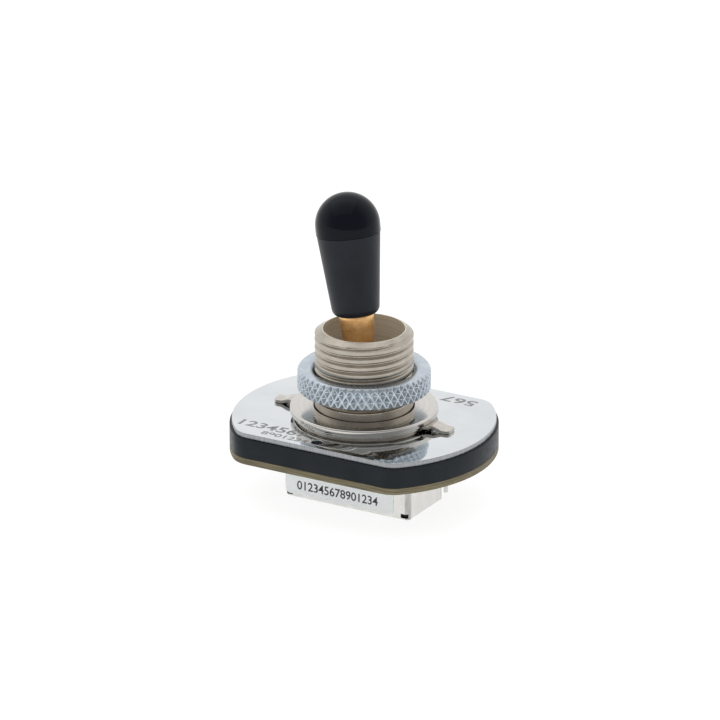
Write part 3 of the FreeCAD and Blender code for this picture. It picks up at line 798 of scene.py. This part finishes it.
def bushing_parts():
    """The turned outside up to the thread, and the rim, mouth and lower bore, without the thread
    itself.
    """
    outside = eased([(bore_radius, bushing_low, 0), (lip_radius, bushing_low, lip_edge),
                     (lip_radius, plate_low, 0), (thread_radius, plate_low, 0),
                     (thread_radius, plate_high, 0), (flange_radius, plate_high, 0),
                     (flange_radius, flange_high, flange_edge), (thread_radius, flange_high, 0)])
    relief = [(thread_radius, z) for z in (*relief_rows, thread_low)]
    outside = turned(np.concatenate([outside, relief]), columns)
    rim = [(float(thread_radius_at(0, thread_high)), thread_high),
           (rim_radius, bushing_top - rim_drop), (rim_radius - rim_round, bushing_top),
           (mouth_radius + rim_round, bushing_top), (mouth_radius, bushing_top - rim_round)]
    mouth = [(mouth_radius, mouth_floor + mouth_fillet),
             (mouth_radius - mouth_fillet_middle, mouth_floor + mouth_fillet_middle),
             (mouth_radius - mouth_fillet, mouth_floor), (bore_radius, mouth_floor)]
    arch = np.radians(np.linspace(90, 0, 10))
    arch_levels = pivot_level + slot_half_width * np.sin(arch)
    bore_levels = np.concatenate([[arch_levels[0] + arch_gap], arch_levels, [bushing_low]])
    inside = turned(np.concatenate([rim, mouth, [(bore_radius, z) for z in bore_levels]]),
                    columns)
    inside[-len(bore_levels):, :, :2] = slotted_bore(bore_levels, arch_levels[0] + same_spot)
    outside[0, :, :2] = inside[-1, :, :2]
    return [(grid.reshape(-1, 3), grid_faces(len(grid), columns)) for grid in (outside, inside)]


def axis_distance(look, place=None):
    """The distance from the Z axis, the length of (x, y), and the height as two sockets."""
    if place is None:
        place = own_place(look)
    split = add_node(look, "SeparateXYZ", {"Vector": place})
    flat = add_node(look, "CombineXYZ", {"X": split.outputs["X"], "Y": split.outputs["Y"]})
    reach = add_node(look, "VectorMath", {0: flat.outputs["Vector"]}, operation="LENGTH")
    return reach.outputs["Value"], split.outputs["Z"]


def rings_over(look, size, place=None):
    """Fine lines as a turning tool leaves them: noise over the distance from the axis and the
    height, with features of size mm, and no change along the turn."""
    reach, height = axis_distance(look, place)
    both = add_node(look, "CombineXYZ", {"X": reach, "Y": height})
    return noise_over(look, size, place=both.outputs["Vector"])


nickel = new_look("Nickel plating", (0.43, 0.39, 0.335), 0.24, 1.0)
plated = mottle(nickel, 1.6, (0.39, 0.35, 0.298), (0.48, 0.44, 0.383))
# Painted light: the mouth's inside is coloured much lighter than the plating outside and made less
# metallic, so that the shaded bore reads bright; its turned lines are drawn in that lighter colour.
in_mouth = all_of(nickel, (axis_distance(nickel)[0], "LESS_THAN", mouth_painted_light_radius))
roughen(nickel, mixed(nickel, in_mouth, spread(nickel, rings_over(nickel, 0.12), 0.18, 0.30),
                      spread(nickel, rings_over(nickel, 0.12), 0.36, 0.52)))
mouth_painted_light = tint(nickel, spread(nickel, rings_over(nickel, 0.25), 0, 1), (0.55, 0.505, 0.41),
             (0.77, 0.72, 0.61))
tint(nickel, in_mouth, plated, mouth_painted_light)
feed(nickel, mixed(nickel, in_mouth, 1.0, 0.35), "Metallic")
emboss(nickel, rings_over(nickel, 0.09), 0.0006)
emboss(nickel, noise_over(nickel, 0.25), 0.0006)
piece("bushing_turned", bushing_parts() + [thread_strip()], "root", nickel,
      ["threaded_bushing"], crease=40)


# Lug washer: 0.4 mm spring steel with two lugs that are bent in an S and rest on the plate. They
# keep the switch from turning in its panel. The ring lies on the bushing's flange.

lug_sheet = 0.4
lug_ring_low = flange_high
lug_ring_high = lug_ring_low + lug_sheet
lug_ring_radius = 8.6
lug_ring_edge = 0.1
washer_bore = 6.12
washer_bore_edge = 0.05
lug_root = 8.0
lug_crest_from = 9.0
lug_crest_run = 0.6
lug_crest_rise = 0.08
lug_fall_from = 9.7
lug_fall_run = 1.35
lug_foot_low = 10.58
lug_reach = 11.95
lug_half_root = 1.45
lug_half_foot = 1.0
lug_narrow_from = 8.6
lug_narrow_run = 1.0
lug_round = 0.54
lug_round_side = 0.5
lug_edge = 0.09
lug_turn = 2.75


def lug_strip():
    """A strip along +X: its middle line falls from the ring's level over a low crest to the
    foot on an S of two smooth steps, and a rounded cross-section follows it. The half width
    narrows from the root and is rounded off at the tip."""
    straight = lug_reach - lug_round
    bent = lug_round * np.cos(np.linspace(0, math.pi / 2, 10))[1:]
    reach = np.concatenate([np.linspace(lug_root, straight, 48), lug_reach - bent])
    crest = lug_ring_low + lug_crest_rise
    low = (lug_ring_low + lug_crest_rise * smooth((reach - lug_crest_from) / lug_crest_run)
           - (crest - lug_foot_low) * smooth((reach - lug_fall_from) / lug_fall_run))
    narrowing = smooth((reach - lug_narrow_from) / lug_narrow_run)
    tip = np.clip((reach - straight) / lug_round, 0, 1)
    half = (lug_half_root - (lug_half_root - lug_half_foot) * narrowing
            - lug_round_side * (1 - np.sqrt(1 - tip ** 2)))
    section = rounded_box(lug_half_foot, lug_sheet / 2, lug_edge, 5)[0]
    side = np.sign(section[:, 0])
    across = section[:, 0][None, :] + side[None, :] * (half - lug_half_foot)[:, None]
    up = section[:, 1][None, :] + lug_sheet / 2 + low[:, None]
    slope = np.gradient(low, reach)
    along = reach[:, None] - slope[:, None] * section[:, 1][None, :]
    points = np.stack([along, across, up], axis=-1)
    end = np.zeros_like(points[:1]) + [lug_reach, 0, low[-1] + lug_sheet / 2]
    points = np.concatenate([points, end])
    return points.reshape(-1, 3), grid_faces(len(points), len(section))


def turned_about(part, degrees):
    """The same part turned about Z: x and y are mixed by the angle's cosine and sine."""
    points, faces = part
    c = math.cos(math.radians(degrees))
    s = math.sin(math.radians(degrees))
    spin = np.array([[c, s, 0], [-s, c, 0], [0, 0, 1]])
    return points @ spin, faces


def ring(corners, count):
    """A closed profile of eased corners turned about Z."""
    profile = eased(corners)
    return turned(profile, count).reshape(-1, 3), grid_faces(len(profile), count, close_rows=True)


spring_steel = new_look("Plated spring steel", (0.56, 0.53, 0.49), 0.2, 1.0)
mottle(spring_steel, 1.1, (0.50, 0.47, 0.43), (0.64, 0.61, 0.57))
dapple(spring_steel, 0.5, 0.14, 0.26)
emboss(spring_steel, noise_over(spring_steel, 0.9), 0.0008)
lugs = [turned_about(lug_strip(), lug_turn), turned_about(lug_strip(), lug_turn + 180)]
lug_ring = ring([(washer_bore, lug_ring_low, washer_bore_edge),
                 (lug_ring_radius, lug_ring_low, lug_ring_edge),
                 (lug_ring_radius, lug_ring_high, lug_ring_edge),
                 (washer_bore, lug_ring_high, washer_bore_edge)], 256)
piece("washer_with_lugs", [lug_ring] + lugs, "root", spring_steel, ["lug_washer"])


# Flat washer: a thick turned washer, nickel plated, with a well rounded upper edge and fine
# turned rings on its face.

washer_radius = 9.01
washer_high = 12.1
washer_low_edge = 0.2
washer_high_edge = 0.22
washer_bore_top_edge = 0.08

washer_metal = new_look("Turned washer", (0.64, 0.615, 0.575), 0.16, 1.0)
tint(washer_metal, spread(washer_metal, rings_over(washer_metal, 0.5), 0, 1),
     (0.585, 0.565, 0.53), (0.66, 0.64, 0.61))
roughen(washer_metal, spread(washer_metal, rings_over(washer_metal, 0.3), 0.12, 0.18))
emboss(washer_metal, rings_over(washer_metal, 0.14), 0.0002)
washer_ring = ring([(washer_bore, lug_ring_high, washer_bore_edge),
                    (washer_radius, lug_ring_high, washer_low_edge),
                    (washer_radius, washer_high, washer_high_edge),
                    (washer_bore, washer_high, washer_bore_top_edge)], 320)
piece("washer_turned", [washer_ring], "root", washer_metal, ["flat_washer"])


# Knurled nut: turned steel, bright zinc plated, with a diamond knurl rolled round it and a
# countersink at its top. It is loose on the thread and turns by hand.

nut_radius = 8.09
nut_low = 14.3
nut_high = 17.05
nut_bore = 6.04
nut_sink_radius = 6.6
nut_foot_sink = (6.4, 0.35)
nut_foot_radius = 7.6
nut_face_radii = (7.75, 7.0)
nut_rows = 40
nut_ease = 0.33
nut_ease_high = 0.45
nut_ease_low = 0.2
knurl_count = 51
knurl_height = 1.74
knurl_depth = 0.3
knurl_flat = 0.93
knurl_samples = 12
knurl_low = 14.395
knurl_margin = 0.02


def ridge(share):
    """A triangular wave: 1 at whole numbers and 0 half way between them."""
    return np.abs(2 * (share % 1.0) - 1)


def knurled_points():
    """The nut's closed profile turned about Z. Two families of helical ridges cross on its
    outside: each is a triangular wave of turn / pitch plus or minus level / height. The radius
    is the crest's less the depth times the way down from the nearer ridge, and never outside
    the rounding of the two edges."""
    levels = np.linspace(nut_low + knurl_margin, nut_high - knurl_margin, nut_rows)
    foot_radius, foot_rise = nut_foot_sink
    inside = [(nut_sink_radius, nut_high), (nut_bore, nut_high - (nut_sink_radius - nut_bore)),
              (nut_bore, nut_low + foot_rise), (foot_radius, nut_low), (nut_foot_radius, nut_low)]
    profile = np.concatenate([inside, [(nut_radius, z) for z in levels],
                              [(radius, nut_high) for radius in nut_face_radii]])
    count = knurl_count * knurl_samples
    points = turned(profile, count)
    turn = (np.arange(count) / knurl_samples)[None, :]
    level = profile[:, 1][:, None]
    row = (level - knurl_low) / knurl_height
    nearer = np.maximum(ridge(turn + row), ridge(turn - row))
    cut = nut_radius - knurl_depth * (1 - np.minimum(nearer, knurl_flat) / knurl_flat)
    near = np.minimum(level - nut_low, nut_high - level)
    reach = np.where(level > (nut_low + nut_high) / 2, nut_ease_high, nut_ease_low)
    easing = nut_radius - nut_ease * (1 - np.sin(np.clip(near / reach, 0, 1) * math.pi / 2))
    outer = (np.abs(profile[:, 0] - nut_radius) < same_spot)[:, None]
    radius = np.where(outer, np.minimum(cut, easing), profile[:, :1])
    angle = np.arctan2(points[:, :, 1], points[:, :, 0])
    points[:, :, 0] = radius * np.cos(angle)
    points[:, :, 1] = radius * np.sin(angle)
    return points.reshape(-1, 3), grid_faces(len(profile), count, close_rows=True)


zinc = new_look("Bright zinc", (0.50, 0.555, 0.61), 0.28, 1.0)
mottle(zinc, 1.2, (0.45, 0.505, 0.56), (0.57, 0.63, 0.69))
dapple(zinc, 0.3, 0.22, 0.36)
emboss(zinc, noise_over(zinc, 0.5), 0.0012)
piece("nut_knurled", [knurled_points()], "nut", zinc, ["knurled_nut"], crease=50)


# Toggle lever: turned brass with a hollow stem for the plunger, a straight rod that the cross pin
# holds in the rocker, and a cone and shoulder under the tip. A stud above it carries the tip.

stem_low = -10.3
stem_radius = 1.3
stem_bore = 0.84
stem_bore_top = -4.6
rod_low = -1.5
rod_radius = 1.75
rod_high = 5.9
cone_low = (1.93, 7.0)
cone_high = (2.13, 9.7)
shoulder_level = 10.1
stud_radius = 1.45
stud_high = 17.54

joints = {joint["name"]: joint for joint in frame["joints"]}
lever_axis = np.array(joints["plunger_press"]["axis"], float)
tilt_axis = np.array(joints["bank_tilt"]["axis"], float)
lever_foot = np.array(joints["bank_tilt"]["pos_m"], float) / mm


def along_lever(profile, count):
    """A profile of (radius, distance from the pivot) rows turned about the resting lever: the
    turned x, y and z are carried along the tilt's axis, its normal and the lever's axis."""
    side = tilt_axis / np.linalg.norm(tilt_axis)
    up = lever_axis / np.linalg.norm(lever_axis)
    basis = np.array([side, np.cross(up, side), up])
    return (turned(profile, count).reshape(-1, 3) @ basis + lever_foot,
            grid_faces(len(profile), count))


def lever_place(look):
    """Object coordinates measured along the resting lever, from its pivot."""
    up = Vector(lever_axis)
    turn = up.to_track_quat("Z", "X").to_euler()
    mapped = add_node(look, "Mapping", {"Vector": own_place(look), "Rotation": turn,
                                        "Location": Vector(lever_foot * mm)},
                      vector_type="TEXTURE")
    return mapped.outputs["Vector"]


brass = new_look("Turned brass", (0.80, 0.475, 0.20), 0.32, 0.9)
tint(brass, spread(brass, noise_over(brass, 0.9, place=lever_place(brass)), 0, 1),
     (0.71, 0.38, 0.14), (0.89, 0.57, 0.27))
roughen(brass, spread(brass, rings_over(brass, 0.15, lever_place(brass)), 0.24, 0.40))
emboss(brass, rings_over(brass, 0.08, lever_place(brass)), 0.002)
lever_profile = eased(
    [(0, stem_bore_top, 0), (stem_bore, stem_bore_top, 0), (stem_bore, stem_low, 0.05),
     (stem_radius, stem_low, 0.1), (stem_radius, rod_low, 0), (rod_radius, rod_low, 0.1),
     (rod_radius, rod_high, 0.5), (*cone_low, 1.2), (*cone_high, 0.4),
     (cone_high[0], shoulder_level, 0.04), (stud_radius, shoulder_level, 0),
     (stud_radius, stud_high, 0.1), (0, stud_high, 0)], closed=False)
piece("lever_turned", [along_lever(lever_profile, 96)], "lever", brass,
      ["toggle_lever"])


# Lever tip: a black moulded knob that widens upwards to a seam, with a glossier dome above it
# that stands out a little. It is screwed on the lever's stud.

tip_seam = 20.08
tip_seam_half = 0.02
socket_radius = 1.48
socket_top = 17.57
tip_foot_low = 9.95
tip_foot_radius = 2.83
neck_radius = 3.855
groove_radius = 3.80
groove_below = 0.06
groove_lip = 0.005
rim_rows = ((0.05, 0.01), (0.01, 0.04), (0.0, 0.1))
dome_radius = 3.95
dome_level = 21.16
dome_steps = 30


def tip_profile():
    """Radius and distance from the pivot: socket, rounded foot, straight taper to the seam, a
    fine groove there, a short rim and a half round dome."""
    foot = eased([(0, socket_top, 0), (socket_radius, socket_top, 0),
                  (socket_radius, tip_foot_low, 0.12), (tip_foot_radius, tip_foot_low, 1.0),
                  (neck_radius, tip_seam - groove_below, 0.03),
                  (groove_radius, tip_seam - tip_seam_half, 0)], steps=7, closed=False)
    rim = ([(groove_radius, tip_seam + groove_lip)]
           + [(dome_radius - inset, tip_seam + rise) for inset, rise in rim_rows]
           + [(dome_radius, dome_level)])
    turn = np.radians(np.linspace(0, 90, dome_steps))[1:]
    dome = np.column_stack([dome_radius * np.cos(turn), dome_level + dome_radius * np.sin(turn)])
    dome[-1, 0] = 0
    return np.concatenate([foot, rim, dome])


knob = new_look("Black moulded knob", (0.008, 0.010, 0.014), 0.3)
knob_place = lever_place(knob)
knob_height = add_node(knob, "SeparateXYZ", {"Vector": knob_place}).outputs["Z"]
seam_from = (tip_seam - tip_seam_half) * mm
seam_to = (tip_seam + tip_seam_half) * mm
on_dome = add_node(knob, "MapRange", {"Value": knob_height, "From Min": seam_from,
                                      "From Max": seam_to}).outputs["Result"]
below = tint(knob, spread(knob, noise_over(knob, 3.5, place=knob_place), 0, 1),
             (0.006, 0.008, 0.012), (0.010, 0.013, 0.018))
tint(knob, on_dome, below, (0.003, 0.004, 0.007))
feed(knob, mixed(knob, on_dome, 0.2, 0.12), "Specular IOR Level")
satin = spread(knob, noise_over(knob, 0.5, (1, 1, 5), knob_place), 0.34, 0.44)
gloss = spread(knob, noise_over(knob, 1.5, place=knob_place), 0.06, 0.12)
roughen(knob, mixed(knob, on_dome, satin, gloss))
emboss(knob, noise_over(knob, 0.16, (1, 1, 7), knob_place), 0.003)
piece("tip_moulded", [along_lever(tip_profile(), 160)], "lever", knob,
      ["lever_tip"])


# Inner pieces that stay as the CAD has them: rocker, keys, cross pin, plunger and its spring,
# detent block, carriages with their wipers, the frame in the can and the board's contact pads.

def dress(look, *names):
    """Gives CAD nodes a finish in their own material slots."""
    for name in names:
        for own in frame["nodes"][name].material_slots:
            own.link = "OBJECT"
            own.material = look


steel = new_look("Turned steel", (0.48, 0.47, 0.455), 0.26, 1.0)
mottle(steel, 0.9, (0.43, 0.42, 0.405), (0.54, 0.53, 0.515))
dapple(steel, 0.2, 0.2, 0.36)
emboss(steel, noise_over(steel, 0.08), 0.002)
dress(steel, "rocker_ring", "pivot_keys", "cross_pin", "detent_plunger")
wire = new_look("Spring wire", (0.60, 0.60, 0.60), 0.22, 1.0)
dapple(wire, 0.3, 0.16, 0.32)
dress(wire, "plunger_spring")
natural = new_look("Natural acetal", (0.74, 0.71, 0.61), 0.42,
                   more={"Subsurface Weight": 0.1, "Subsurface Scale": 0.3 * mm})
mottle(natural, 2.0, (0.70, 0.67, 0.57), (0.78, 0.75, 0.65))
emboss(natural, noise_over(natural, 0.1), 0.002)
dress(natural, "slider_frame", "detent_plate", "select_slider", "bank_slider")
bronze = new_look("Spring bronze", (0.66, 0.43, 0.24), 0.24, 1.0)
dapple(bronze, 0.3, 0.18, 0.34)
emboss(bronze, noise_over(bronze, 0.06, (8, 1, 1)), 0.0015)
dress(bronze, "select_wipers", "bank_wipers")
gold = new_look("Gold flash", (0.80, 0.60, 0.26), 0.25, 1.0)
dapple(gold, 0.4, 0.18, 0.36)
dress(gold, "contact_pads")


# Studio: a pale floor that reads white to the camera and in reflections, a white surround that
# darkens towards the room behind the camera, a large soft box overhead, and the camera at the
# photograph's angle.

view_turn = math.radians(29.974)
view_rise = math.radians(21.125)
view_distance = 1037.8
view_target = Vector((-0.137, -0.766, 18.06)) * mm
back = Vector((math.sin(view_turn) * math.cos(view_rise),
               -math.cos(view_turn) * math.cos(view_rise), math.sin(view_rise)))
sensor_width = 36
lens_length = 429.44
camera_near = 0.01
floor_half = 1.6
floor_level = -0.02 * mm
floor_white = 0.86
floor_glow = 0.86
floor_seen = 0.18
sky_light = 1.3
room_dark = 0.34
room_from = -0.15
room_full = 0.75
lamp_power = 0.5
lamp_size = 0.7
lamp_place = (-0.12, -0.05, 0.55)
lamp_aim = (0, 0, 0.015)


def seen_directly(look):
    """1 for rays from the camera, off a glossy surface or through glass, and 0 for the rest."""
    path = add_node(look, "LightPath")
    shown = computed(look, "MAXIMUM", path.outputs["Is Camera Ray"], path.outputs["Is Glossy Ray"])
    return computed(look, "MAXIMUM", shown, path.outputs["Is Transmission Ray"])


floor_corners = [(x * floor_half, y * floor_half, floor_level)
                 for x, y in ((-1, -1), (1, -1), (1, 1), (-1, 1))]
floor_mesh = bpy.data.meshes.new("floor")
floor_mesh.from_pydata(floor_corners, [], [(0, 1, 2, 3)])
floor = bpy.data.objects.new("floor", floor_mesh)
bpy.context.scene.collection.objects.link(floor)
paper = new_look("White paper", (floor_white,) * 3, 0.9,
                 more={"Specular IOR Level": 0.0, "Emission Color": (1, 1, 1, 1)})
seen = seen_directly(paper)
feed(paper, mixed(paper, seen, 0.0, floor_glow), "Emission Strength")
tint(paper, seen, (floor_white,) * 3, (floor_seen,) * 3)
floor_mesh.materials.append(paper)

world = bpy.data.worlds.new("Studio")
bpy.context.scene.world = world
world.use_nodes = True
sky = world.node_tree.nodes["Background"]
sky.inputs["Color"].default_value = (1, 1, 1, 1)
way = add_node(world, "TexCoord").outputs["Generated"]
facing = add_node(world, "VectorMath", {0: way, 1: back}, operation="DOT_PRODUCT")
room = add_node(world, "MapRange", {"Value": facing.outputs["Value"], "From Min": room_from,
                                    "From Max": room_full, "To Min": 1.0, "To Max": room_dark},
                interpolation_type="SMOOTHSTEP")
strength = mixed(world, seen_directly(world), sky_light, room.outputs["Result"])
world.node_tree.links.new(strength, sky.inputs["Strength"])

lamp = bpy.data.lights.new("overhead", "AREA")
lamp.shape = "SQUARE"
lamp.size = lamp_size
lamp.energy = lamp_power
soft_box = bpy.data.objects.new("overhead", lamp)
soft_box.location = lamp_place
aim = Vector(lamp_aim) - soft_box.location
soft_box.rotation_euler = aim.to_track_quat("-Z", "Y").to_euler()
bpy.context.scene.collection.objects.link(soft_box)

camera_data = bpy.data.cameras.new("camera")
camera_data.sensor_width = sensor_width
camera_data.lens = lens_length
camera_data.clip_start = camera_near
camera = bpy.data.objects.new("camera", camera_data)
camera.location = view_target + back * view_distance * mm
camera.rotation_euler = back.to_track_quat("Z", "Y").to_euler()
bpy.context.scene.collection.objects.link(camera)
bpy.context.scene.camera = camera
bpy.context.scene.view_settings.view_transform = "Standard"

bpy.context.view_layer.update()
